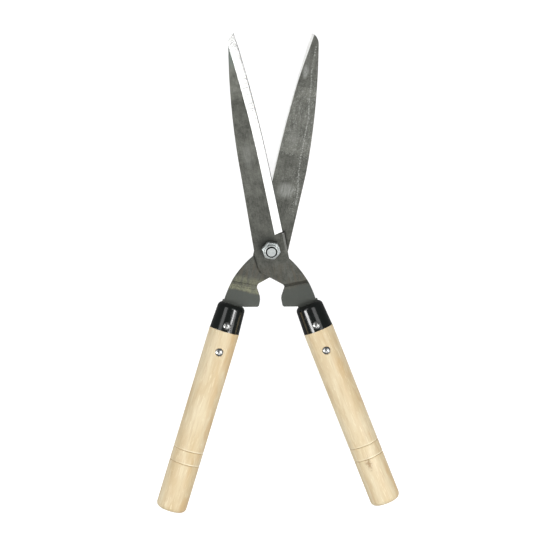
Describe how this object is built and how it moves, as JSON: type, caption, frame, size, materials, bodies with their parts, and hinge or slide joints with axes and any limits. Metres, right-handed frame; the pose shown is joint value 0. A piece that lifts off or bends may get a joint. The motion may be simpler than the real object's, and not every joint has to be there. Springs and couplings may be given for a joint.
{
  "type": "hedge shears",
  "caption": "Two-handed hedge shears: two long ground blades crossing at a lock-nut pivot, bent tangs with stop tabs, black ferrules and turned wooden handles.",
  "frame": {"origin": "on the pivot axis, at the underside of the pivot bolt's head", "axes": "+Z along the pivot axis from the bolt head to the nut; +Y midway between the two blades, towards their tips; +X to the right seen from the nut side"},
  "size_m": [0.2401, 0.4648, 0.0849],
  "materials": {
    "blade_steel": "dark rolled steel, heat tinted at the tang, with a bright polished bevel along the cutting edge",
    "ferrule_black": "smooth high gloss black",
    "handle_wood": "pale turned hardwood, fine sanded with a thin clear coat",
    "rivet_steel": "bright nickel plated",
    "pivot_zinc": "bright zinc plated",
    "insert_nylon": "satin nylon"
  },
  "bodies": {
    "rear_half": {"rear_blade": "blade_steel", "rear_ferrule": "ferrule_black", "rear_handle": "handle_wood", "rear_ferrule_rivet": "rivet_steel", "rear_ferrule_burr": "rivet_steel", "rear_handle_rivet": "rivet_steel", "rear_handle_burr": "rivet_steel", "pivot_bolt": "pivot_zinc", "pivot_washer": "pivot_zinc", "pivot_nut": "pivot_zinc", "nut_insert": "insert_nylon"},
    "front_half": {"front_blade": "blade_steel", "front_ferrule": "ferrule_black", "front_handle": "handle_wood", "front_ferrule_rivet": "rivet_steel", "front_ferrule_burr": "rivet_steel", "front_handle_rivet": "rivet_steel", "front_handle_burr": "rivet_steel"}
  },
  "joints": [
    {"name": "pivot", "type": "hinge", "parent": "rear_half", "child": "front_half", "pos_m": [0, 0, 0.01165], "axis": [0, 0, 1], "range_deg": [-22.4, 90]}
  ]
}
